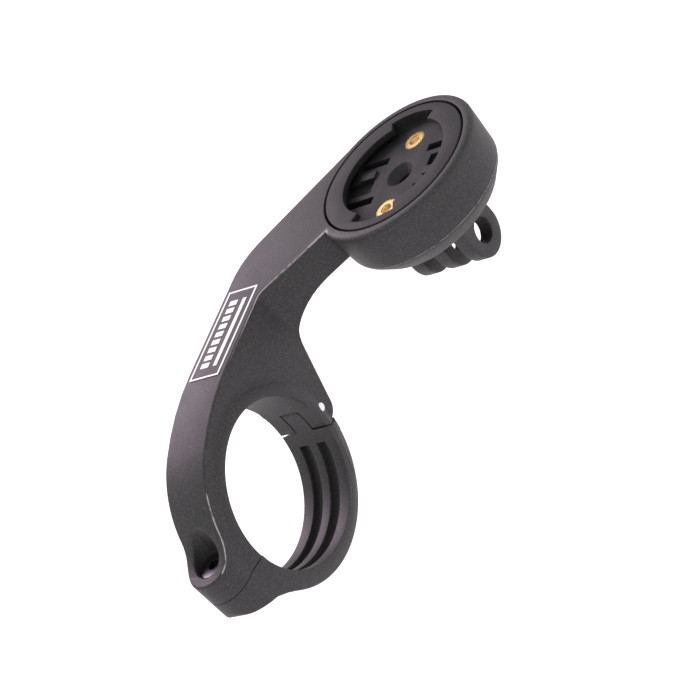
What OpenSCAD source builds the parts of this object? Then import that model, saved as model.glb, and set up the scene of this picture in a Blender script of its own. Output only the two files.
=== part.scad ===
// Handlebar mount for a bicycle computer: a hinged clamp ring, an arm that bends
// inwards to a round head, a quarter-turn socket and a three-finger adapter.
// Origin: centre of the handlebar bore. +X forward, +Y along the bar, +Z up.

/* [Handlebar clamp] */
// Diameter of the handlebar that the clamp holds
bar_d = 31.8; // [31.6:0.1:32]
// Width of the clamp ring, along the bar
clamp_w = 11.7; // [11.3:0.1:12.5]
// Width of the arm, between its two side faces
arm_w = 10; // [9.6:0.1:10.6]
// Outer radius of the upper jaw
jaw_r = 20.4; // [20.2:0.1:20.8]
// Outer radius of the lower band
band_r = 19.4; // [19.2:0.1:19.6]
// Gap at the split between the jaw and the band
split_gap = 0.14; // [0.1:0.02:0.3]

/* [Hinge] */
// Distance of the hinge pin in front of the bore's centre
pin_x = 18.3; // [18:0.1:18.6]
// Height of the hinge pin
pin_z = -0.7; // [-1:0.1:-0.4]
// Diameter of the hinge pin
pin_d = 1.7; // [1.5:0.1:1.9]
// Radius of the two ears on the jaw
ear_r = 3.45; // [3.3:0.05:3.6]
// Width of the band's tongue between the ears
tongue_w = 4; // [3.5:0.1:4.5]

/* [Clamp bolt] */
// Distance of the bolt's axis behind the bore's centre
bolt_x = -20.4; // [-20.7:0.1:-20.2]
// Height of the seat under the bolt's washer
seat_z = 2; // [1.9:0.1:2.4]
// Diameter of the bolt's head
head_d = 5.7; // [5.5:0.1:5.8]
// Length of the bolt under its head
bolt_len = 8; // [7.6:0.1:8.2]

/* [Arm] */
// Height of the arm's flat top
top_z = 22.14; // [21.9:0.1:22.5]
// Height of the underside where the arm meets the head
under_z = 14.6; // [14:0.1:15]
// Angle by which the arm bends inwards
bend_deg = 39.3; // [38:0.1:41]

/* [Head] */
// Distance of the head's axis in front of the bore's centre
head_x = 52.05; // [51.5:0.05:52.5]
// Offset of the head's axis to the right of the clamp
head_y = -27.75; // [-28.2:0.05:-27.3]
// Radius of the head
head_r = 17.65; // [17.5:0.05:17.9]
// Height of the joint between the head and the adapter
joint_z = 12.9; // [12.7:0.1:13.1]

/* [Quarter-turn socket] */
// Radius of the socket disc
socket_r = 15.4; // [15.2:0.05:15.5]
// Radius of the opening between the two lips
lip_r = 11.4; // [11.2:0.05:11.6]
// Radius of the two notches and of the undercut
notch_r = 13.5; // [13.3:0.05:13.7]
// Thickness of the lips
lip_t = 1.2; // [1.1:0.05:1.3]
// Depth of the socket's floor below its rim
floor_depth = 2.4; // [2.3:0.05:2.6]
// Angle that each notch spans
notch_deg = 44; // [40:1:48]
// Distance between the two brass inserts
screw_pitch = 17.4; // [17:0.1:17.8]

/* [Camera adapter] */
// Radius of the adapter's disc at the joint
disc_r = 16.9; // [16.8:0.1:17.1]
// Radius of the disc's flat underside
disc_low_r = 12.8; // [12.6:0.1:13.2]
// Height of the disc's underside
disc_low_z = 8.9; // [8.7:0.1:9.1]
// Thickness of each finger
finger_t = 3; // [2.9:0.05:3.1]
// Distance from one finger to the next
finger_pitch = 6.2; // [6.1:0.05:6.3]
// Height of the hole through the fingers
finger_hole_z = 1.7; // [1.4:0.1:2.2]
// Diameter of the hole through the fingers
finger_hole_d = 5; // [4.9:0.1:5.3]
// Radius of the fingers' round ends
finger_r = 5.3; // [5:0.1:5.6]
// Offset of the middle finger from the head's axis
finger_shift = 1.5; // [1:0.1:1.8]

/* [Label] */
// Length of the printed frame
label_l = 21.6; // [20:0.1:23]
// Width of the printed frame
label_w = 7.4; // [7:0.1:8]

/* [Hidden] */
$fn = 96;
eps = 0.02;
far = 80;
bar_r = bar_d / 2;
half_w = clamp_w / 2;
half_arm = arm_w / 2;
split_top_z = -0.45;
pin_fit = 0.05;
pin_l = arm_w + 0.6;
ear_gap = 0.3;

// Round boss at the open end of the clamp
boss_x = -20.7;
boss_r = half_arm;
boss_end_x = boss_x - boss_r;

// Raised ring round the bore: flat lip, then a slope down to the arm's side faces
lip_edge_r = 17.2;
ring_foot_r = 18.9;

// Upper jaw's outline, seen from the side
crown_x = 10;
crown_r = (pow(crown_x, 2) + pow(top_z, 2) - pow(jaw_r, 2)) / (2 * (top_z - jaw_r));
crown_deg = atan2(crown_r - top_z, -crown_x);
mouth_x = boss_end_x;
mouth_z = 4.5;
mouth_r = (pow(mouth_x, 2) + pow(mouth_z, 2) - pow(jaw_r, 2)) / (2 * (jaw_r - mouth_z));
mouth_deg = atan2(mouth_z + mouth_r, mouth_x);
neck_deg = 65;
neck_r = 10;
neck_run = (ear_r + neck_r + (under_z - neck_r - pin_z) * cos(neck_deg)) / sin(neck_deg);
neck_x = pin_x + neck_run;

// Plan of the arm
far_corner_x = 38.5;
far_corner_r = 15;
near_corner_x = 27.2;
near_corner_r = 3;
near_deg = 44;

// Clamp bolt and its fittings
counterbore_d = 6.2;
bolt_hole_d = 3.4;
shank_d = 2.4;
thread_bore_d = 3.2;
washer_t = 0.5;
washer_d = counterbore_d - 0.4;
washer_bore_d = shank_d + 0.1;
head_h = 1.65;
hex_af = 2;
hex_depth = 1;
insert_d = 4.6;
insert_h = 4.6;
insert_top_z = -0.9;
thread_run = 0.6;

// Lug of the band, under the bolt
lug_corner_r = 3;
lug_corner_z = -3.2;
lug_deg = 25;
lug_bend = [-19.35, -8.2];
lug_foot = [-16, -11];

// Grooves inside the band
groove_w = 2.35;
groove_depth = 1.2;
groove_y = 2.18;
groove_end_deg = 22;

// Socket and head
pocket_gap = 0.45;
pocket_r = socket_r + pocket_gap;
rim_r = 1;
socket_floor_t = 2.3;
pocket_z = top_z - floor_depth - socket_floor_t;
floor_z = top_z - floor_depth;
brass_d = 4.5;
brass_h = 2.2;
brass_bore_d = 2.9;
sink_d = 6;
sink_h = 1.7;
centre_hole_d = 2.8;
body_hole_d = 3.4;
slot_w = 1.8;
slot_in = 4.8;
slot_x = 5;
slot_end_gap = 1.2;
ramp_x = -2.75;
ramp_w = 3.5;
ramp_in = 6.4;
ramp_depth = 0.9;
catch_x = 0.75;
catch_w = 1.9;
catch_l = 3.6;
catch_h = 0.5;

// Adapter disc's lower edge, and its screws
disc_edge_r = 2;
bowl_step = 0.5;
bowl_h = 0.9;
screw_d = 2.8;
screw_head_d = 5.5;
screw_head_h = 2.4;
screw_head_gap = 0.2;
screw_seat_z = disc_low_z + screw_head_h + screw_head_gap;
screw_end_gap = 1.3;
screw_hex_af = 1.5;
foot_h = 4;

// Printed label
print_t = 0.08;
line_w = 0.4;
label_x = 18.9;
label_y = 0.1;
mark_count = 9;
mark_pitch = 1.9;
mark_w = 1.2;
mark_h = 2;
mark_y = 1.15;
bar_y = -1.6;
bar_h = 0.9;

// Points on a circle round c, from angle a to angle b
function arc(c, r, a, b, n = 12) =
    [for (i = [0 : n]) let (t = a + (b - a) * i / n) [c[0] + r * cos(t), c[1] + r * sin(t)]];

// A side outline in X and Z, drawn out along Y
module across(width) {
    rotate([90, 0, 0]) linear_extrude(height = width, center = true) children();
}

// A cylinder along Y through a point of the side view
module rod_y(x, z, r, width) {
    translate([x, 0, z]) rotate([90, 0, 0]) cylinder(r = r, h = width, center = true);
}

module at_head() {
    translate([head_x, head_y, 0]) children();
}

// The two screw places, in front of and behind the head's axis
module at_screws() {
    at_head() for (side = [-1, 1]) translate([side * screw_pitch / 2, 0, 0]) children();
}

// Plan of the clamp, its boss and the arm, up to the inside of the head
module arm_plan() {
    near_run = 16;
    far_c = [far_corner_x - far_corner_r * tan(bend_deg / 2), half_arm - far_corner_r];
    near_c = [near_corner_x - near_corner_r * tan(near_deg / 2), -half_arm - near_corner_r];
    near_line = near_c + near_corner_r * [sin(near_deg), cos(near_deg)];
    far_line = far_c + far_corner_r * [sin(bend_deg), cos(bend_deg)];
    far_run = (head_x - far_line[0]) * cos(bend_deg) - (head_y - far_line[1]) * sin(bend_deg);
    translate([boss_x, 0]) circle(r = boss_r);
    polygon(concat(
        [[boss_x, half_arm], [boss_x, -half_arm]],
        arc(near_c, near_corner_r, 90, 90 - near_deg, 6),
        [near_line + near_run * [cos(near_deg), -sin(near_deg)],
         [head_x, head_y],
         far_line + far_run * [cos(bend_deg), -sin(bend_deg)]],
        arc(far_c, far_corner_r, 90 - bend_deg, 90, 8)));
}

// Side outline of the jaw and the arm
module arm_side() {
    polygon(concat(
        [[far, under_z], [far, top_z]],
        arc([crown_x, top_z - crown_r], crown_r, 90, crown_deg, 4),
        arc([0, 0], jaw_r, crown_deg, mouth_deg, 16),
        arc([mouth_x, mouth_z + mouth_r], mouth_r, mouth_deg - 180, -90, 10),
        [[boss_end_x - eps, mouth_z], [boss_end_x - eps, split_top_z], [0, split_top_z]],
        arc([pin_x, pin_z], ear_r, 180, 270 + neck_deg, 16),
        arc([neck_x, under_z - neck_r], neck_r, 90 + neck_deg, 90, 10)));
}

// Raised ring round the bore, turned round the bar's axis
module bore_ring(foot_r) {
    rotate([90, 0, 0]) rotate_extrude() polygon([
        [bar_r - 1, -half_w], [lip_edge_r, -half_w], [foot_r, -half_arm],
        [foot_r, half_arm], [lip_edge_r, half_w], [bar_r - 1, half_w]]);
}

// Outline of the head, turned round its axis
module head_turned() {
    rotate_extrude() polygon(concat(
        [[0, joint_z], [disc_r, joint_z]],
        arc([head_r - rim_r, top_z - rim_r], rim_r, 0, 90, 6),
        [[0, top_z]]));
}

module arm_body() {
    color("#3b393b") difference() {
        union() {
            intersection() {
                translate([0, 0, -far]) linear_extrude(height = 2 * far) arm_plan();
                across(2 * far) arm_side();
            }
            intersection() {
                across(clamp_w) arm_side();
                bore_ring(ring_foot_r);
            }
            at_head() head_turned();
        }
        rod_y(0, 0, bar_r, clamp_w + 2);
        rod_y(pin_x, pin_z, pin_d / 2, clamp_w + 2);
        // Slot for the band's tongue
        intersection() {
            across(tongue_w + 2 * ear_gap) translate([0, pin_z - 2 * ear_r]) square([far, 4 * ear_r]);
            rod_y(pin_x, pin_z, ear_r + ear_gap / 2, clamp_w);
        }
        // Counterbore and clearance hole for the bolt
        translate([bolt_x, 0, seat_z]) cylinder(d = counterbore_d, h = far);
        translate([bolt_x, 0, -1]) cylinder(d = bolt_hole_d, h = far);
        // Pocket for the socket disc
        at_head() translate([0, 0, pocket_z]) cylinder(r = pocket_r, h = far);
        at_screws() translate([0, 0, joint_z - 1]) cylinder(d = body_hole_d, h = far);
    }
}

// Side outline of the band and its lug
module band_side() {
    corner = [boss_end_x + lug_corner_r, lug_corner_z];
    difference() {
        union() {
            circle(r = band_r);
            polygon(concat(
                [[0, 0], [boss_end_x, 0]],
                arc(corner, lug_corner_r, 180, 270 - lug_deg, 6),
                [lug_bend, lug_foot, [0, -bar_r]]));
        }
        translate([-far, split_top_z - split_gap]) square([far, far]);
        translate([-eps, pin_z]) square([far, far]);
    }
}

module clamp_band() {
    color("#3b393b") difference() {
        union() {
            difference() {
                union() {
                    intersection() {
                        translate([0, 0, -far]) linear_extrude(height = 2 * far) arm_plan();
                        across(arm_w) band_side();
                    }
                    intersection() {
                        across(clamp_w) band_side();
                        bore_ring(band_r);
                    }
                }
                rod_y(pin_x, pin_z, ear_r + ear_gap, clamp_w + 2);
            }
            rod_y(pin_x, pin_z, ear_r - ear_gap / 2, tongue_w);
            intersection() {
                across(tongue_w) band_side();
                rod_y(pin_x, pin_z, 2 * ear_r, tongue_w);
            }
        }
        rod_y(0, 0, bar_r, clamp_w + 2);
        rod_y(pin_x, pin_z, pin_d / 2 + pin_fit, clamp_w + 2);
        for (side = [-1, 1]) translate([0, side * groove_y, 0]) band_groove();
        translate([bolt_x, 0, insert_top_z - insert_h]) cylinder(d = insert_d, h = far);
        translate([bolt_x, 0, insert_top_z - insert_h - thread_run]) cylinder(d = thread_bore_d, h = far);
    }
}

// One of the two grooves that run round the inside of the band
module band_groove() {
    rotate([90, 0, 0]) rotate([0, 0, 180 + groove_end_deg])
        rotate_extrude(angle = 180 - 2 * groove_end_deg)
            translate([bar_r - 1, -groove_w / 2]) square([groove_depth + 1, groove_w]);
}

module hinge_pin() {
    color("#c9c9cc") rod_y(pin_x, pin_z, pin_d / 2, pin_l);
}

module hexagon(across_flats) {
    circle(d = across_flats / cos(30), $fn = 6);
}

module clamp_bolt() {
    color("#2a2a2c") translate([bolt_x, 0, seat_z + washer_t]) difference() {
        union() {
            cylinder(d = head_d, h = head_h);
            translate([0, 0, -bolt_len]) cylinder(d = shank_d, h = bolt_len + eps);
        }
        translate([0, 0, head_h - hex_depth]) linear_extrude(height = far) hexagon(hex_af);
    }
}

module bolt_washer() {
    color("#9a9a9e") translate([bolt_x, 0, seat_z]) difference() {
        cylinder(d = washer_d, h = washer_t);
        translate([0, 0, -1]) cylinder(d = washer_bore_d, h = far);
    }
}

module band_insert() {
    color("#b98a3c") translate([bolt_x, 0, insert_top_z - insert_h]) difference() {
        cylinder(d = insert_d, h = insert_h);
        translate([0, 0, -1]) cylinder(d = thread_bore_d, h = far);
    }
}

// One notch of the socket: a sector between the lips
module notch_plan() {
    intersection() {
        circle(r = notch_r);
        polygon([[0, 0], notch_r * 2 * [cos(notch_deg / 2), -sin(notch_deg / 2)],
                 notch_r * 2 * [1, 0], notch_r * 2 * [cos(notch_deg / 2), sin(notch_deg / 2)]]);
    }
}

// Slots and ramp that free one of the two sprung tongues in the socket's floor
module tongue_cuts() {
    for (side = [-1, 1]) translate([side * slot_x - slot_w / 2, slot_in, -far])
        cube([slot_w, notch_r - slot_in - slot_end_gap, 2 * far]);
    translate([ramp_x, ramp_in, floor_z - ramp_depth]) cube([ramp_w, notch_r - ramp_in, far]);
}

// Raised catch on the end of one sprung tongue
module tongue_catch() {
    translate([catch_x, ramp_in, floor_z - eps]) cube([catch_w, catch_l, catch_h + eps]);
}

module quarter_turn_socket() {
    color("#333133") at_head() for (turn = [0, 180]) rotate([0, 0, turn]) tongue_catch();
    color("#333133") at_head() difference() {
        translate([0, 0, pocket_z]) cylinder(r = socket_r, h = floor_depth + socket_floor_t);
        translate([0, 0, floor_z]) cylinder(r = notch_r, h = floor_depth - lip_t);
        translate([0, 0, floor_z]) cylinder(r = lip_r, h = far);
        for (turn = [0, 180]) rotate([0, 0, turn]) {
            translate([0, 0, floor_z]) linear_extrude(height = far) notch_plan();
            intersection() {
                tongue_cuts();
                translate([0, 0, pocket_z - 1]) cylinder(r = notch_r, h = top_z - lip_t - pocket_z + 1);
            }
        }
        translate([0, 0, pocket_z - 1]) cylinder(d = centre_hole_d, h = far);
        translate([0, 0, floor_z - sink_h]) cylinder(d1 = centre_hole_d, d2 = sink_d, h = sink_h + eps);
        for (side = [-1, 1]) translate([side * screw_pitch / 2, 0, pocket_z - 1])
            cylinder(d = brass_d, h = far);
    }
}

module brass_inserts() {
    color("#e2b56b") at_screws() translate([0, 0, pocket_z + eps]) difference() {
        cylinder(d = brass_d, h = brass_h);
        translate([0, 0, -1]) cylinder(d = brass_bore_d, h = far);
    }
}

module adapter_screws() {
    color("#8f8f93") at_screws() difference() {
        union() {
            translate([0, 0, screw_seat_z - screw_head_h]) cylinder(d = screw_head_d, h = screw_head_h);
            translate([0, 0, screw_seat_z - eps])
                cylinder(d = screw_d, h = floor_z - screw_end_gap - screw_seat_z);
        }
        translate([0, 0, screw_seat_z - screw_head_h - 1]) linear_extrude(height = hex_depth + 1)
            hexagon(screw_hex_af);
    }
}

// Side outline of one finger, with its foot on the disc
module finger_side() {
    translate([0, finger_hole_z]) circle(r = finger_r);
    translate([-finger_r, finger_hole_z]) square([2 * finger_r, disc_low_z + 1 - finger_hole_z]);
}

module camera_adapter() {
    color("#3b393b") at_head() difference() {
        union() {
            rotate_extrude() polygon(concat(
                [[0, disc_low_z]],
                arc([disc_low_r, disc_low_z + disc_edge_r], disc_edge_r, -90, -42, 4),
                [[disc_r - bowl_step, joint_z - bowl_h], [disc_r, joint_z], [0, joint_z]]));
            for (i = [-1 : 1]) translate([0, finger_shift + i * finger_pitch, 0])
                across(finger_t) finger_side();
        }
        translate([0, finger_shift, 0]) rod_y(0, finger_hole_z, finger_hole_d / 2, far);
        for (side = [-1, 1]) translate([side * screw_pitch / 2, 0, 0]) {
            translate([0, 0, disc_low_z - foot_h])
                cylinder(r = screw_head_d / 2 + screw_head_gap, h = screw_seat_z - disc_low_z + foot_h);
            cylinder(d = body_hole_d, h = far);
        }
    }
}

module label_print() {
    color("#f2f2f2") translate([label_x, label_y, top_z]) linear_extrude(height = print_t) {
        difference() {
            square([label_l, label_w], center = true);
            square([label_l - 2 * line_w, label_w - 2 * line_w], center = true);
        }
        for (i = [0 : mark_count - 1]) translate([(i - (mark_count - 1) / 2) * mark_pitch, mark_y])
            square([mark_w, mark_h], center = true);
        translate([0, bar_y]) square([(mark_count - 1) * mark_pitch + mark_w, bar_h], center = true);
    }
}

arm_body();
clamp_band();
hinge_pin();
clamp_bolt();
bolt_washer();
band_insert();
quarter_turn_socket();
brass_inserts();
adapter_screws();
camera_adapter();
label_print();
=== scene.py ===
"""Looks of an out-front handlebar mount for a bicycle computer.

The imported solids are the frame. Each moulded piece is finished from its own solid: the sharp
edges get the small radius that a mould leaves, and every surface gets a material made of nodes.
All lengths are in metres unless a name says millimetres.
"""

import logging
import math
from collections.abc import Callable
from dataclasses import dataclass
from enum import Enum

import bmesh
import bpy
from mathutils import Matrix, Vector, kdtree


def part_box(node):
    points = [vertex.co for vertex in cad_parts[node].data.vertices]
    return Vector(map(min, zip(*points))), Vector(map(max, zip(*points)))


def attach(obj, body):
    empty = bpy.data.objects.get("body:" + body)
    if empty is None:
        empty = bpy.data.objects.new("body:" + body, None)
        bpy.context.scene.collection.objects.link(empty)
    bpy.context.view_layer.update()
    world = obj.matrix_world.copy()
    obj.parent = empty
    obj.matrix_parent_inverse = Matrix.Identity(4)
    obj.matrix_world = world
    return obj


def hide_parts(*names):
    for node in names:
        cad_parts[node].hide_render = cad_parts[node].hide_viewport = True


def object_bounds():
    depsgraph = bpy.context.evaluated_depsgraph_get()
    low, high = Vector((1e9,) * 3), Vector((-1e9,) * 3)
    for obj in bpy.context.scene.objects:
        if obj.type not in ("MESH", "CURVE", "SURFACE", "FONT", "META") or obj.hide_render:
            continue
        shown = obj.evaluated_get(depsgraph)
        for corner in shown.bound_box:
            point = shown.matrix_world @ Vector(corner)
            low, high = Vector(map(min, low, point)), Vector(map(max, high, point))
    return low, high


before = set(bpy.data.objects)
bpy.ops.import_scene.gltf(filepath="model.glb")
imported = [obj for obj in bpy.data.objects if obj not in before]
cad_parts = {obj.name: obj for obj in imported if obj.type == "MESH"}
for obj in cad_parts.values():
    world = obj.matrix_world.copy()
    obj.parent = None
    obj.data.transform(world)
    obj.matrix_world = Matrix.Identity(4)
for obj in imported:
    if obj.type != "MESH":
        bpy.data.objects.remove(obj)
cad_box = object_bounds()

log = logging.getLogger("handlebar_mount")

MM = 0.001

# Axes of the round features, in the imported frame
BAR_AXIS = Vector((0.0, 0.0, 0.0))
HEAD_AXIS = Vector((52.05, -27.75, 0.0)) * MM
BOLT_AXIS = Vector((-20.4, 0.0, 0.0)) * MM
PIN_AXIS = Vector((18.3, 0.0, -0.7)) * MM
LUG_FOOT = Vector((-16.0, 0.0, -11.0)) * MM

# The arm's side faces lie just past this distance from the clamp's middle plane, in millimetres
INSIDE_FACE_MM = 4.9

# How far the pale rubbing and painted edge highlight reach from where the sharp edge was, as a share of the
# edge's radius
WEAR_AND_HIGHLIGHT_REACH = 0.52


class Slot(Enum):
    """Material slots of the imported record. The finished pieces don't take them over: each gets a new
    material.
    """

    NYLON = "nylon"
    SOCKET = "socket_plastic"
    BRASS = "brass"


def linear(hex_colour: str, alpha: float = 1.0) -> tuple[float, float, float, float]:
    """Turn an sRGB hex colour into linear red, green, blue and alpha.

    Args:
        hex_colour: Six hex digits, with or without a leading hash.
        alpha: Opacity from 0 to 1.

    Returns:
        The colour as a shader socket takes it.
    """
    digits = hex_colour.lstrip("#")
    channels = [int(digits[i:i + 2], 16) / 255 for i in (0, 2, 4)]
    straight = [c / 12.92 if c <= 0.04045 else ((c + 0.055) / 1.055) ** 2.4 for c in channels]
    return (*straight, alpha)


def per_metre(feature_mm: float) -> float:
    """Return the texture scale, in cycles a metre, of a feature that is so many millimetres."""
    return 1.0 / (feature_mm * MM)


class NodeBench:
    """A node tree being wired up, with one method that adds a node."""

    def __init__(self, tree: bpy.types.NodeTree) -> None:
        """Start on an emptied tree."""
        self.tree = tree
        tree.nodes.clear()

    def add(self, kind: str, settings: dict | None = None, **links: object) -> bpy.types.Node:
        """Add a node, set its properties and fill or link its inputs.

        Args:
            kind: The node's type name.
            settings: Properties of the node, by name.
            **links: Inputs by name, with underscores for spaces, or i0, i1 by place. Each is a
                value, or a socket to link from.

        Returns:
            The new node.
        """
        node = self.tree.nodes.new(kind)
        for name, value in (settings or {}).items():
            setattr(node, name, value)
        for name, value in links.items():
            by_place = name[0] == "i" and name[1:].isdigit()
            socket = node.inputs[int(name[1:]) if by_place else name.replace("_", " ")]
            if isinstance(value, bpy.types.NodeSocket):
                self.tree.links.new(value, socket)
            else:
                socket.default_value = value
        return node

    def remap(self, value: bpy.types.NodeSocket, given: tuple[float, float],
              wanted: tuple[float, float]) -> bpy.types.NodeSocket:
        """Stretch one range of a value onto another, and hold it at the ends.

        Args:
            value: The socket to read.
            given: The value's lowest and highest that matter.
            wanted: What those two become.

        Returns:
            The stretched value.
        """
        node = self.add("ShaderNodeMapRange", Value=value)
        for name, number in zip(("From Min", "From Max", "To Min", "To Max"), (*given, *wanted)):
            node.inputs[name].default_value = number
        return node.outputs["Result"]


def new_material(name: str) -> tuple[bpy.types.Material, NodeBench]:
    """Make an empty node material and the bench to wire it on."""
    material = bpy.data.materials.new(name)
    material.use_nodes = True
    return material, NodeBench(material.node_tree)


@dataclass(frozen=True)
class MouldedNylon:
    """Glass-filled nylon, moulded in a spark-eroded mould.

    The eye sees a matte charcoal with a fine grain, a few pale fibre specks, a soft broad sheen
    where light grazes it, and edges painted paler, partly as rubbing and partly as a painted highlight.
    """

    name: str
    base: str
    mottled: str
    pale_fibre_wear_and_highlight: str
    roughness: float = 0.56
    ior: float = 1.52
    grain_mm: float = 0.34
    mottle_mm: float = 3.0
    wear_and_highlight_mm: float = 1.1
    grain_height_mm: float = 0.06
    bump: float = 0.6
    shine_swing: float = 0.05
    fibre_share: float = 0.09
    wear_and_highlight: float = 1.0

    # Noise values between which a fibre speck, and a patch of rubbing and painted edge highlight, come up
    fibre_band: tuple[float, float] = (0.46, 0.8)
    wear_and_highlight_band: tuple[float, float] = (0.32, 0.52)

    def material(self) -> bpy.types.Material:
        """Build the node material."""
        material, bench = new_material(self.name)
        place = bench.add("ShaderNodeTexCoord").outputs["Object"]
        grain = bench.add("ShaderNodeTexNoise", Vector=place, Scale=per_metre(self.grain_mm),
                          Detail=3.0, Roughness=0.65)
        mottle = bench.add("ShaderNodeTexNoise", Vector=place, Scale=per_metre(self.mottle_mm),
                           Detail=5.0, Roughness=0.6)
        tone = bench.add("ShaderNodeMix", {"data_type": "RGBA"}, Factor=mottle.outputs["Fac"],
                         i6=linear(self.base), i7=linear(self.mottled))
        specks = bench.remap(grain.outputs["Fac"], self.fibre_band, (0.0, self.fibre_share))
        speckled = bench.add("ShaderNodeMix", {"data_type": "RGBA"}, Factor=specks,
                             i6=tone.outputs[2], i7=linear(self.pale_fibre_wear_and_highlight))
        # Edges painted pale: partly rubbing, partly a painted highlight along the edge
        edge = bench.add("ShaderNodeAttribute", {"attribute_name": "edge_wear_and_highlight"})
        patchy = bench.add("ShaderNodeMath", {"operation": "MULTIPLY"}, i0=edge.outputs["Fac"],
                           i1=self.wear_and_highlight_pattern(bench, place))
        edge_wear_and_highlight = bench.add("ShaderNodeMix", {"data_type": "RGBA"}, Factor=patchy.outputs[0],
                           i6=speckled.outputs[2], i7=linear(self.pale_fibre_wear_and_highlight))
        shine = bench.remap(mottle.outputs["Fac"], (0.0, 1.0),
                            (self.roughness - self.shine_swing, self.roughness + self.shine_swing))
        bump = bench.add("ShaderNodeBump", Strength=self.bump, Distance=self.grain_height_mm * MM,
                         Height=grain.outputs["Fac"])
        shader = bench.add("ShaderNodeBsdfPrincipled", Base_Color=edge_wear_and_highlight.outputs[2],
                           Roughness=shine, Normal=bump.outputs["Normal"], IOR=self.ior)
        bench.add("ShaderNodeOutputMaterial", Surface=shader.outputs["BSDF"])
        return material

    def wear_and_highlight_pattern(self, bench: NodeBench, place: bpy.types.NodeSocket) -> bpy.types.NodeSocket:
        """Wire the broken pattern by which an edge is painted pale, as rubbing and as a painted highlight.

        Args:
            bench: The bench of this material.
            place: Object coordinates.

        Returns:
            A socket from 0, untouched, to this finish's share of rubbing and painted highlight.
        """
        blotch = bench.add("ShaderNodeTexNoise", Vector=place, Scale=per_metre(self.wear_and_highlight_mm), Detail=4.0,
                           Roughness=0.7)
        return bench.remap(blotch.outputs["Fac"], self.wear_and_highlight_band, (0.0, self.wear_and_highlight))


@dataclass(frozen=True)
class WornMetal:
    """A small metal fitting with fine scratches and a slightly uneven shine."""

    name: str
    base: str
    stained: str
    roughness: float
    scratch_mm: float = 0.12
    scratch_depth_mm: float = 0.01
    scratch_squeeze: float = 0.12
    stain_mm: float = 1.2
    bump: float = 0.2
    shinier: float = 0.08
    duller: float = 0.1

    def material(self) -> bpy.types.Material:
        """Build the node material."""
        material, bench = new_material(self.name)
        place = bench.add("ShaderNodeTexCoord").outputs["Object"]
        stain = bench.add("ShaderNodeTexNoise", Vector=place, Scale=per_metre(self.stain_mm),
                          Detail=4.0, Roughness=0.6)
        tone = bench.add("ShaderNodeMix", {"data_type": "RGBA"}, Factor=stain.outputs["Fac"],
                         i6=linear(self.base), i7=linear(self.stained))
        stretch = bench.add("ShaderNodeMapping", Vector=place, Scale=(1.0, 1.0, self.scratch_squeeze))
        scratch = bench.add("ShaderNodeTexNoise", Vector=stretch.outputs["Vector"],
                            Scale=per_metre(self.scratch_mm), Detail=2.0)
        shine = bench.remap(scratch.outputs["Fac"], (0.0, 1.0),
                            (self.roughness - self.shinier, self.roughness + self.duller))
        bump = bench.add("ShaderNodeBump", Strength=self.bump, Distance=self.scratch_depth_mm * MM,
                         Height=scratch.outputs["Fac"])
        shader = bench.add("ShaderNodeBsdfPrincipled", Base_Color=tone.outputs[2],
                           Metallic=1.0, Roughness=shine, Normal=bump.outputs["Normal"])
        bench.add("ShaderNodeOutputMaterial", Surface=shader.outputs["BSDF"])
        return material


@dataclass(frozen=True)
class PadPrintInk:
    """White pad-printing ink: opaque and matte, a little thin where the grain shows through."""

    name: str
    base: str
    thin: str
    roughness: float = 0.6
    thin_mm: float = 0.35
    thin_band: tuple[float, float] = (0.58, 0.85)
    thin_share: float = 0.7

    def material(self) -> bpy.types.Material:
        """Build the node material."""
        material, bench = new_material(self.name)
        place = bench.add("ShaderNodeTexCoord").outputs["Object"]
        cover = bench.add("ShaderNodeTexNoise", Vector=place, Scale=per_metre(self.thin_mm),
                          Detail=3.0, Roughness=0.6)
        gaps = bench.remap(cover.outputs["Fac"], self.thin_band, (0.0, self.thin_share))
        tone = bench.add("ShaderNodeMix", {"data_type": "RGBA"}, Factor=gaps,
                         i6=linear(self.base), i7=linear(self.thin))
        shader = bench.add("ShaderNodeBsdfPrincipled", Base_Color=tone.outputs[2],
                           Roughness=self.roughness, IOR=1.5)
        bench.add("ShaderNodeOutputMaterial", Surface=shader.outputs["BSDF"])
        return material


@dataclass(frozen=True)
class StudioFloor:
    """White studio paper, faintly uneven, lit a little from below so that it stays white."""

    name: str = "studio_paper"
    base: str = "f7f7f7"
    uneven: str = "f3f3f3"
    cloud_mm: float = 90.0
    glow: float = 0.2

    def material(self) -> bpy.types.Material:
        """Build the node material."""
        material, bench = new_material(self.name)
        place = bench.add("ShaderNodeTexCoord").outputs["Object"]
        cloud = bench.add("ShaderNodeTexNoise", Vector=place, Scale=per_metre(self.cloud_mm), Detail=2.0)
        tone = bench.add("ShaderNodeMix", {"data_type": "RGBA"}, Factor=cloud.outputs["Fac"],
                         i6=linear(self.base), i7=linear(self.uneven))
        shader = bench.add("ShaderNodeBsdfPrincipled", Base_Color=tone.outputs[2], Roughness=0.9,
                           IOR=1.45, Emission_Color=linear(self.base), Emission_Strength=self.glow)
        bench.add("ShaderNodeOutputMaterial", Surface=shader.outputs["BSDF"])
        return material


# Charcoal, matte and grainy, with edges painted pale: partly rubbing where they get knocked, partly a painted
# highlight
ARM_NYLON = MouldedNylon("glass_filled_nylon", base="1b191b", mottled="201d20", pale_fibre_wear_and_highlight="c4bdc1")
# Blacker and smoother than the arm, with hardly any wear
SOCKET_NYLON = MouldedNylon("socket_nylon", base="131214", mottled="181719", pale_fibre_wear_and_highlight="8a8488",
                            roughness=0.6, ior=1.4, grain_height_mm=0.02, wear_and_highlight=0.25)
# Nearly white: the end of a ground pin
PIN_STEEL = WornMetal("ground_steel", base="f0f0f2", stained="dedee0", roughness=0.45)
# Dark grey with small glints
BLACK_OXIDE = WornMetal("black_oxide_steel", base="6b6b70", stained="47474c", roughness=0.28)
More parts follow.
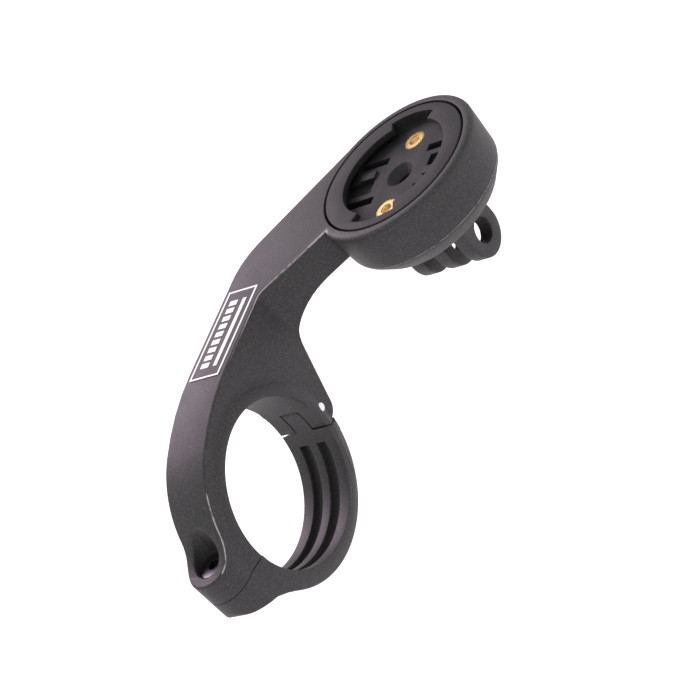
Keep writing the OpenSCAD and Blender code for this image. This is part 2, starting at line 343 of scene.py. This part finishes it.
# Cool mid grey, half shiny
ZINC_STEEL = WornMetal("zinc_plated_steel", base="b4b6ba", stained="9b9da3", roughness=0.34)
# Pale bright gold
TURNED_BRASS = WornMetal("turned_brass", base="ffe2ae", stained="eabf78", roughness=0.28)
# Flat white with thin spots
WHITE_INK = PadPrintInk("white_pad_print", base="f4f4f4", thin="8d8b8e")


def solid_copy(node: str, name: str, merge_mm: float = 0.002, flat_deg: float = 0.5) -> bpy.types.Object:
    """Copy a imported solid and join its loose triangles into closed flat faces.

    Args:
        node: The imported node.
        name: The new piece's name.
        merge_mm: Points closer than this become one.
        flat_deg: Triangles that turn by less than this become one face.

    Returns:
        The new piece, with its place in its mesh.
    """
    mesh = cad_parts[node].data.copy()
    mesh.name = name
    mesh.materials.clear()
    shape = bmesh.new()
    shape.from_mesh(mesh)
    bmesh.ops.remove_doubles(shape, verts=shape.verts, dist=merge_mm * MM)
    bmesh.ops.dissolve_limit(shape, angle_limit=math.radians(flat_deg), verts=shape.verts,
                             edges=shape.edges)
    shape.to_mesh(mesh)
    shape.free()
    piece = bpy.data.objects.new(name, mesh)
    bpy.context.scene.collection.objects.link(piece)
    return piece


def bake_modifiers(piece: bpy.types.Object) -> None:
    """Turn a piece's modifiers into its mesh."""
    graph = bpy.context.evaluated_depsgraph_get()
    done = bpy.data.meshes.new_from_object(piece.evaluated_get(graph))
    piece.modifiers.clear()
    piece.data = done


def along_edge(edge: bmesh.types.BMEdge, step_mm: float = 0.3) -> list[Vector]:
    """Points along an edge, no further apart than the step."""
    start, end = edge.verts[0].co, edge.verts[1].co
    count = max(1, math.ceil((end - start).length / (step_mm * MM)))
    return [start.lerp(end, i / count) for i in range(count + 1)]


def round_edges(piece: bpy.types.Object, radius: Callable[[Vector], float],
                edge_wear_and_highlight: Callable[[Vector], float] | None = None, sharp_deg: float = 20.0) -> None:
    """Give each sharp edge of a moulded piece its own small radius, and mark those painted pale as rubbing
    and as a painted highlight.

    Args:
        piece: The piece, a closed mesh.
        radius: Radius in millimetres for an edge, from the edge's middle point in millimetres.
        edge_wear_and_highlight: Share from 0 to 1 by which the edge is painted pale, as rubbing and as a
            painted highlight, from the same point.
        sharp_deg: Edges that turn by less than this are part of a curve and stay.
    """
    # A bevel takes each edge's radius as a share, from 0 to 1, of one width
    widest_mm = 2.0
    marked: list[tuple[Vector, float, float]] = []
    shape = bmesh.new()
    shape.from_mesh(piece.data)
    weight = shape.edges.layers.float.new("bevel_weight_edge")
    for edge in shape.edges:
        if len(edge.link_faces) == 2 and edge.calc_face_angle(0.0) > math.radians(sharp_deg):
            middle = (edge.verts[0].co + edge.verts[1].co) / 2 / MM
            size = radius(middle)
            edge[weight] = min(1.0, size / widest_mm)
            share = edge_wear_and_highlight(middle) if edge_wear_and_highlight is not None and size > 0 else 0.0
            if share > 0:
                marked += [(point, share, size * MM) for point in along_edge(edge)]
    shape.to_mesh(piece.data)
    shape.free()
    bevel = piece.modifiers.new("mould_radius", "BEVEL")
    bevel.width = widest_mm * MM
    bevel.segments = 4
    bevel.limit_method = "WEIGHT"
    bevel.use_clamp_overlap = False
    bevel.miter_outer = "MITER_SHARP"
    bake_modifiers(piece)
    mark_edge_wear_and_highlight(piece, marked)


def mark_edge_wear_and_highlight(piece: bpy.types.Object, marked: list[tuple[Vector, float, float]]) -> None:
    """Write how far each point of a piece is painted pale, as rubbing and as a painted highlight, as the
    point attribute that the nylon material reads.

    Args:
        piece: The piece, with its edges rounded.
        marked: Points of edges painted pale (rubbing and painted highlight), each with its share and the
            edge's radius in metres.
    """
    tree = kdtree.KDTree(max(1, len(marked)))
    for number, (point, _share, _size) in enumerate(marked):
        tree.insert(point, number)
    tree.balance()
    # Per point: how far it is painted pale, as rubbing and as a painted edge highlight
    wear_and_highlight = piece.data.attributes.new("edge_wear_and_highlight", "FLOAT", "POINT")
    for vert in piece.data.vertices:
        _at, number, away = tree.find(vert.co)
        near_edge = number is not None and away < WEAR_AND_HIGHLIGHT_REACH * marked[number][2]
        wear_and_highlight.data[vert.index].value = marked[number][1] if near_edge else 0.0


def finish_piece(piece: bpy.types.Object, material: bpy.types.Material, smooth_deg: float = 32.0) -> None:
    """Shade a piece smooth between its sharp edges and dress it in one material."""
    piece.data.materials.clear()
    piece.data.materials.append(material)
    piece.data.shade_smooth()
    piece.data.set_sharp_from_angle(angle=math.radians(smooth_deg))


@dataclass
class Studio:
    """The pale floor, the soft light and the camera."""

    lens_mm: float = 128.57
    camera_at: tuple[float, float, float] = (-237.84, -312.62, 229.69)
    camera_right: tuple[float, float, float] = (0.3091, -0.7309, -0.6085)
    camera_up: tuple[float, float, float] = (0.7569, -0.1983, 0.6227)
    floor_half: float = 6.0
    floor_gap: float = 32.0 * MM
    softbox_at: tuple[float, float, float] = (190.0, 400.0, 300.0)
    softbox_side_mm: float = 300.0
    softbox_watts: float = 1.7
    softbox_tint: tuple[float, float, float] = (1.0, 0.78, 0.94)
    sky: float = 0.95

    def build(self) -> None:
        """Make the floor, the light and the camera."""
        self.lay_floor()
        self.hang_lights()
        self.place_camera()
        log.info("studio: floor, softbox, camera")

    def lay_floor(self) -> None:
        """Lay a level floor, low enough for the band to swing open above it."""
        low = cad_box[0].z - self.floor_gap
        half = self.floor_half
        mesh = bpy.data.meshes.new("floor")
        mesh.from_pydata([(-half, -half, low), (half, -half, low), (half, half, low), (-half, half, low)],
                         [], [(0, 1, 2, 3)])
        mesh.materials.append(StudioFloor().material())
        floor = bpy.data.objects.new("floor", mesh)
        bpy.context.scene.collection.objects.link(floor)

    def hang_lights(self) -> None:
        """Hang one large softbox beyond the object, facing it, in a white room."""
        lamp = bpy.data.lights.new("far_softbox", "AREA")
        lamp.size = self.softbox_side_mm * MM
        lamp.energy = self.softbox_watts
        lamp.color = self.softbox_tint
        light = bpy.data.objects.new("far_softbox", lamp)
        bpy.context.scene.collection.objects.link(light)
        centre = (cad_box[0] + cad_box[1]) / 2
        light.location = Vector(self.softbox_at) * MM
        light.rotation_euler = (light.location - centre).to_track_quat("Z", "Y").to_euler()
        world = bpy.data.worlds.new("white_room")
        world.use_nodes = True
        bench = NodeBench(world.node_tree)
        sky = bench.add("ShaderNodeBackground", Color=(1.0, 1.0, 1.0, 1.0), Strength=self.sky)
        bench.add("ShaderNodeOutputWorld", Surface=sky.outputs["Background"])
        bpy.context.scene.world = world
        bpy.context.scene.view_settings.view_transform = "Standard"

    def place_camera(self) -> None:
        """Place the camera up and behind the clamp, on its near side."""
        right, up = Vector(self.camera_right).normalized(), Vector(self.camera_up).normalized()
        back = right.cross(up).normalized()
        up = back.cross(right)
        turn = Matrix((right, up, back)).transposed().to_4x4()
        data = bpy.data.cameras.new("camera")
        data.lens = self.lens_mm
        data.clip_start, data.clip_end = 0.01, 10.0
        camera = bpy.data.objects.new("camera", data)
        bpy.context.scene.collection.objects.link(camera)
        camera.matrix_world = Matrix.Translation(Vector(self.camera_at) * MM) @ turn
        bpy.context.scene.camera = camera


def fade(distance: float, none_under: float, full_over: float) -> float:
    """Share from 0 to 1 that grows with distance, so that a radius dies out gently.

    Args:
        distance: How far away, in millimetres.
        none_under: The share is 0 up to here.
        full_over: The share is 1 from here on.

    Returns:
        The share.
    """
    return min(1.0, max(0.0, (distance - none_under) / (full_over - none_under)))


def from_axis(point: Vector, axis: Vector, along: str) -> float:
    """Distance of a point from an axis that runs along y or z.

    Args:
        point: The point, in millimetres.
        axis: A point on the axis, in metres.
        along: "y" or "z".

    Returns:
        The distance in millimetres.
    """
    away = point - axis / MM
    return math.hypot(away.x, away.z if along == "y" else away.y)


@dataclass(frozen=True)
class Region:
    """A block of space, in millimetres. It has no end along an axis that isn't given."""

    x: tuple[float, float] = (-math.inf, math.inf)
    y: tuple[float, float] = (-math.inf, math.inf)
    z: tuple[float, float] = (-math.inf, math.inf)

    def holds(self, at: Vector) -> bool:
        """Whether a point lies inside."""
        return all(low < value < high for value, (low, high) in zip(at, (self.x, self.y, self.z)))


# Where the arm's edges are painted pale: partly knocks and rubbing, partly a painted highlight on the near
# edges
JAW_BACK = Region(x=(-math.inf, -14.0), y=(-math.inf, -4.2))
BEND_TOP = Region(x=(25.0, 40.0), y=(-math.inf, -4.0), z=(21.5, math.inf))
HEAD_FRONT = Region(y=(-math.inf, -40.0), z=(20.0, math.inf))


@dataclass
class ClampArm:
    """The jaw, the bent arm and the head, moulded in one.

    The radii die out where the arm's sides run into the head and near the hinge pin, so that no
    rounding runs past the end of its face.
    """

    edge_mm: float = 0.45
    ring_mm: float = 0.9
    lip_mm: float = 0.3
    fine_mm: float = 0.15
    joint_mm: float = 0.25
    # Share by which the chosen edges are painted pale, as rubbing and as a painted highlight
    rub_and_highlight: float = 0.9

    # Where the arm's far and near sides run into the head, and the lowest height of those blends
    far_blend: tuple[float, float] = (62.67, -14.78)
    near_blend: tuple[float, float] = (39.0, -16.5)
    blend_low_z: float = 13.0

    # From these and from the pin: the distance up to which a radius is nothing, and where it is full
    far_fade: tuple[float, float] = (4.0, 9.0)
    near_fade: tuple[float, float] = (1.2, 2.2)
    pin_fade: tuple[float, float] = (4.6, 4.7)

    # Distances from the head's axis: everything inside the rim, and the head's foot at the joint
    inside_rim_mm: float = 16.5
    head_foot_mm: float = 18.2
    head_foot_z: float = 13.5

    # Distances from the bar's axis: the lip of the bore, the raised ring, and the jaw's outline
    bore_lip_mm: float = 16.2
    ring_foot_mm: float = 19.2
    jaw_outline_mm: float = 19.5

    # Distance from the head's axis past which its rim begins
    rim_mm: float = 16.4

    def radius(self, at: Vector) -> float:
        """Mould radius of the edge whose middle is at this point, all in millimetres."""
        if at.z < 0 and at.x < 0:
            return 0.0
        head = from_axis(at, HEAD_AXIS, "z")
        if head < self.inside_rim_mm:
            return self.fine_mm
        if head < self.head_foot_mm and at.z < self.head_foot_z:
            return self.joint_mm
        share = self.share(at)
        ring = from_axis(at, BAR_AXIS, "y")
        if abs(at.y) > INSIDE_FACE_MM and ring < self.ring_foot_mm:
            return share * (self.lip_mm if ring < self.bore_lip_mm else self.ring_mm)
        return share * self.edge_mm

    def share(self, at: Vector) -> float:
        """Share of its full radius that the edge at this point gets."""
        near_pin = fade(from_axis(at, PIN_AXIS, "y"), *self.pin_fade)
        if at.z <= self.blend_low_z:
            return near_pin
        far_side = fade((at.xy - Vector(self.far_blend)).length, *self.far_fade)
        near_side = fade((at.xy - Vector(self.near_blend)).length, *self.near_fade)
        return min(near_pin, far_side, near_side)

    def edge_wear_and_highlight(self, at: Vector) -> float:
        """How far the edge at this point is painted pale, as rubbing and as a painted highlight, from 0 to 1.
        """
        on_jaw = JAW_BACK.holds(at) and from_axis(at, BAR_AXIS, "y") > self.jaw_outline_mm
        on_head = HEAD_FRONT.holds(at) and from_axis(at, HEAD_AXIS, "z") > self.rim_mm
        return self.rub_and_highlight if on_jaw or on_head or BEND_TOP.holds(at) else 0.0

    def build(self, material: bpy.types.Material) -> bpy.types.Object:
        """Finish the arm from its solid and put it on its body."""
        piece = solid_copy("arm_body", "moulded_arm")
        round_edges(piece, self.radius, edge_wear_and_highlight=self.edge_wear_and_highlight)
        finish_piece(piece, material)
        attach(piece, "arm")
        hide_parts("arm_body")
        return piece


@dataclass
class ClampBand:
    """The lower half of the clamp ring, with its two grooves and its lug."""

    edge_mm: float = 0.5
    ring_mm: float = 0.6
    fine_mm: float = 0.12

    # The split, and the hollow where the lug's underside meets the ring, keep their sharp edges
    split_z: float = -1.2
    hollow_mm: float = 0.6
    hollow_half_width_mm: float = 1.0

    # Distances from the bar's axis: the bottom of the grooves, and the band's outside
    groove_mm: float = 17.1
    outside_mm: float = 19.4
    outside_slack_mm: float = 0.15
    lug_root_x: float = -14.0

    # The insert's hole in the lug, and the raised ring's side faces
    insert_hole_mm: float = 2.6
    ring_face_mm: float = 5.5

    # From the pin: the distance up to which a radius is nothing, and where it is full
    pin_fade: tuple[float, float] = (6.0, 10.0)

    def radius(self, at: Vector) -> float:
        """Mould radius of the edge whose middle is at this point, all in millimetres."""
        hollow = from_axis(at, LUG_FOOT, "y") < self.hollow_mm and abs(at.y) < self.hollow_half_width_mm
        if at.z > self.split_z or hollow:
            return 0.0
        ring = from_axis(at, BAR_AXIS, "y")
        inside = abs(at.y) < INSIDE_FACE_MM
        share = fade(from_axis(at, PIN_AXIS, "y"), *self.pin_fade)
        if ring < self.groove_mm or (from_axis(at, BOLT_AXIS, "z") < self.insert_hole_mm and inside):
            return share * self.fine_mm
        on_outside = abs(ring - self.outside_mm) < self.outside_slack_mm
        if abs(at.y) > INSIDE_FACE_MM and on_outside and at.x < self.lug_root_x:
            return 0.0
        return share * (self.ring_mm if abs(at.y) > self.ring_face_mm else self.edge_mm)

    def build(self, material: bpy.types.Material) -> bpy.types.Object:
        """Finish the band from its solid and put it on its body."""
        piece = solid_copy("clamp_band", "moulded_band")
        round_edges(piece, self.radius)
        finish_piece(piece, material)
        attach(piece, "band")
        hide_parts("clamp_band")
        return piece


@dataclass
class QuarterTurnSocket:
    """The black disc that a computer twists into."""

    edge_mm: float = 0.12
    outer_mm: float = 0.25
    outline_mm: float = 15.0

    def radius(self, at: Vector) -> float:
        """Mould radius of the edge whose middle is at this point, all in millimetres."""
        return self.outer_mm if from_axis(at, HEAD_AXIS, "z") > self.outline_mm else self.edge_mm

    def build(self, material: bpy.types.Material) -> bpy.types.Object:
        """Finish the disc from its solid and put it on its body."""
        piece = solid_copy("quarter_turn_socket", "socket_disc")
        round_edges(piece, self.radius)
        finish_piece(piece, material)
        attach(piece, "arm")
        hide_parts("quarter_turn_socket")
        return piece


@dataclass
class KnurledInserts:
    """Two brass inserts: each a tube with a knurl of small teeth outside and a thread inside."""

    outer_mm: float = 2.12
    bore_mm: float = 1.2
    tooth_mm: float = 0.34
    teeth: int = 22
    tooth_turn_deg: float = 45.0
    turns: int = 5
    thread_mm: float = 0.14
    outer_steps: int = 66
    bore_steps: int = 48
    crest_steps: int = 6

    def tree(self, height: float, material: bpy.types.Material) -> bpy.types.NodeTree:
        """Build the node tree that makes one insert, standing on its own origin.

        Args:
            height: The insert's height, in metres.
            material: The brass.

        Returns:
            The geometry node tree, with named inputs for its sizes.
        """
        tree = bpy.data.node_groups.new("knurled_insert", "GeometryNodeTree")
        sizes = {"Height": height, "Outer radius": self.outer_mm * MM, "Bore radius": self.bore_mm * MM,
                 "Tooth": self.tooth_mm * MM, "Thread": self.thread_mm * MM}
        for name, value in sizes.items():
            socket = tree.interface.new_socket(name, in_out="INPUT", socket_type="NodeSocketFloat")
            socket.default_value = value
        tree.interface.new_socket("Geometry", in_out="OUTPUT", socket_type="NodeSocketGeometry")
        bench = NodeBench(tree)
        given = bench.add("NodeGroupInput").outputs
        wall = bench.add("ShaderNodeMath", {"operation": "SUBTRACT"}, i0=given["Outer radius"],
                         i1=given["Bore radius"]).outputs[0]
        rims = bench.add("ShaderNodeMath", {"operation": "ADD"}, i0=given["Outer radius"],
                         i1=given["Bore radius"]).outputs[0]
        middle = bench.add("ShaderNodeMath", {"operation": "MULTIPLY"}, i0=rims, i1=0.5).outputs[0]
        half = bench.add("ShaderNodeMath", {"operation": "MULTIPLY"}, i0=given["Height"], i1=0.5).outputs[0]
        path = bench.add("GeometryNodeCurvePrimitiveCircle", Resolution=self.outer_steps, Radius=middle)
        section = bench.add("GeometryNodeCurvePrimitiveQuadrilateral", Width=wall, Height=given["Height"])
        tube = bench.add("GeometryNodeCurveToMesh", Curve=path.outputs["Curve"],
                         Profile_Curve=section.outputs["Curve"])
        lift = bench.add("ShaderNodeCombineXYZ", Z=half)
        raised = bench.add("GeometryNodeTransform", Geometry=tube.outputs["Mesh"],
                           Translation=lift.outputs["Vector"])
        pieces = [raised.outputs["Geometry"], self.knurl(bench, given, lift), self.thread(bench, given)]
        joined = bench.add("GeometryNodeJoinGeometry")
        for piece in pieces:
            tree.links.new(piece, joined.inputs["Geometry"])
        real = bench.add("GeometryNodeRealizeInstances", Geometry=joined.outputs["Geometry"])
        dressed = bench.add("GeometryNodeSetMaterial", Geometry=real.outputs["Geometry"], Material=material)
        bench.add("NodeGroupOutput", Geometry=dressed.outputs["Geometry"])
        return tree

    def knurl(self, bench: NodeBench, given: bpy.types.bpy_prop_collection,
              lift: bpy.types.Node) -> bpy.types.NodeSocket:
        """Wire the ring of teeth round the outside.

        Args:
            bench: The bench of this tree.
            given: The tree's own inputs.
            lift: The node that gives the insert's middle height as a vector.

        Returns:
            The teeth, as instances.
        """
        ring = bench.add("GeometryNodeMeshCircle", Vertices=self.teeth, Radius=given["Outer radius"])
        size = bench.add("ShaderNodeCombineXYZ", X=given["Tooth"], Y=given["Tooth"], Z=given["Height"])
        tooth = bench.add("GeometryNodeMeshCube", Size=size.outputs["Vector"])
        place = bench.add("GeometryNodeInputPosition")
        outward = bench.add("FunctionNodeAlignEulerToVector", {"axis": "X"}, Vector=place.outputs["Position"])
        turned = bench.add("FunctionNodeRotateEuler", {"space": "LOCAL"},
                           Rotation=outward.outputs["Rotation"],
                           Rotate_By=(0.0, 0.0, math.radians(self.tooth_turn_deg)))
        teeth = bench.add("GeometryNodeInstanceOnPoints", Points=ring.outputs["Mesh"],
                          Instance=tooth.outputs["Mesh"], Rotation=turned.outputs["Rotation"])
        raised = bench.add("GeometryNodeTransform", Geometry=teeth.outputs["Instances"],
                           Translation=lift.outputs["Vector"])
        return raised.outputs["Geometry"]

    def thread(self, bench: NodeBench, given: bpy.types.bpy_prop_collection) -> bpy.types.NodeSocket:
        """Wire the crests of the thread inside the bore.

        Args:
            bench: The bench of this tree.
            given: The tree's own inputs.

        Returns:
            The crests, as instances up the bore.
        """
        step = bench.add("ShaderNodeMath", {"operation": "DIVIDE"}, i0=given["Height"], i1=self.turns + 1.0)
        rise = bench.add("ShaderNodeCombineXYZ", Z=step.outputs[0])
        stack = bench.add("GeometryNodeMeshLine", Count=self.turns, Start_Location=rise.outputs["Vector"],
                          Offset=rise.outputs["Vector"])
        path = bench.add("GeometryNodeCurvePrimitiveCircle", Resolution=self.bore_steps,
                         Radius=given["Bore radius"])
        section = bench.add("GeometryNodeCurvePrimitiveCircle", Resolution=self.crest_steps,
                            Radius=given["Thread"])
        crest = bench.add("GeometryNodeCurveToMesh", Curve=path.outputs["Curve"],
                          Profile_Curve=section.outputs["Curve"])
        crests = bench.add("GeometryNodeInstanceOnPoints", Points=stack.outputs["Mesh"],
                           Instance=crest.outputs["Mesh"])
        return crests.outputs["Instances"]

    def build(self, material: bpy.types.Material) -> bpy.types.Object:
        """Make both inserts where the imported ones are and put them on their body."""
        low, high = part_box("brass_inserts")
        maker = bpy.data.objects.new("insert_maker", bpy.data.meshes.new("insert_maker"))
        bpy.context.scene.collection.objects.link(maker)
        modifier = maker.modifiers.new("knurled_insert", "NODES")
        modifier.node_group = self.tree(high.z - low.z, material)
        graph = bpy.context.evaluated_depsgraph_get()
        one = bpy.data.meshes.new_from_object(maker.evaluated_get(graph))
        bpy.data.objects.remove(maker)
        both = bmesh.new()
        across = (high.y - low.y) / 2
        for end in (low.x + across, high.x - across):
            start = len(both.verts)
            both.from_mesh(one)
            both.verts.ensure_lookup_table()
            shift = Vector((end, (low.y + high.y) / 2, low.z))
            bmesh.ops.translate(both, verts=both.verts[start:], vec=shift)
        mesh = bpy.data.meshes.new("knurled_inserts")
        both.to_mesh(mesh)
        both.free()
        piece = bpy.data.objects.new("knurled_inserts", mesh)
        bpy.context.scene.collection.objects.link(piece)
        finish_piece(piece, material)
        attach(piece, "arm")
        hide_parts("brass_inserts")
        return piece


@dataclass
class CameraAdapter:
    """The bowl under the head, with the three fingers of a camera joint."""

    edge_mm: float = 0.3
    fine_mm: float = 0.15
    # Share by which the bowl's rim is painted pale, as rubbing and as a painted highlight along the joint
    rim_rub_and_highlight: float = 0.8

    # The fingers, below this height, and the bowl's outside get the larger radius
    fingers_z: float = 8.0
    bowl_mm: float = 14.0

    # The bowl's rim, at the joint with the head: above this height and past this distance
    rim_z: float = 12.5
    rim_mm: float = 16.0

    def radius(self, at: Vector) -> float:
        """Mould radius of the edge whose middle is at this point, all in millimetres."""
        away = from_axis(at, HEAD_AXIS, "z")
        return self.edge_mm if at.z < self.fingers_z or away > self.bowl_mm else self.fine_mm

    def edge_wear_and_highlight(self, at: Vector) -> float:
        """How far the edge at this point is painted pale, as rubbing and as a painted highlight: the rim at
        the joint with the head.
        """
        on_rim = at.z > self.rim_z and from_axis(at, HEAD_AXIS, "z") > self.rim_mm
        return self.rim_rub_and_highlight if on_rim else 0.0

    def build(self, material: bpy.types.Material) -> bpy.types.Object:
        """Finish the adapter from its solid and put it on its body."""
        piece = solid_copy("camera_adapter", "finger_adapter")
        round_edges(piece, self.radius, edge_wear_and_highlight=self.edge_wear_and_highlight)
        finish_piece(piece, material)
        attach(piece, "arm")
        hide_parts("camera_adapter")
        return piece


def dress_cad_nodes(brass: bpy.types.Material) -> None:
    """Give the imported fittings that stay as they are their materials.

    Args:
        brass: The brass that the socket's inserts have too.
    """
    zinc = ZINC_STEEL.material()
    finishes = {"hinge_pin": PIN_STEEL.material(), "clamp_bolt": BLACK_OXIDE.material(),
                "bolt_washer": zinc, "band_insert": brass,
                "adapter_screws": zinc, "label_print": WHITE_INK.material()}
    for node, material in finishes.items():
        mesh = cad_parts[node].data
        mesh.materials.clear()
        mesh.materials.append(material)
        log.info("%s: %s", node, material.name)


def main() -> None:
    """Build everything in order and report each piece."""
    logging.basicConfig(level=logging.INFO, format="%(message)s")
    Studio().build()
    nylon = ARM_NYLON.material()
    brass = TURNED_BRASS.material()
    built = [ClampArm().build(nylon), ClampBand().build(nylon),
             QuarterTurnSocket().build(SOCKET_NYLON.material()), KnurledInserts().build(brass),
             CameraAdapter().build(nylon)]
    for piece in built:
        log.info("%s: %d faces", piece.name, len(piece.data.polygons))
    dress_cad_nodes(brass)


if __name__ == "__main__":
    main()
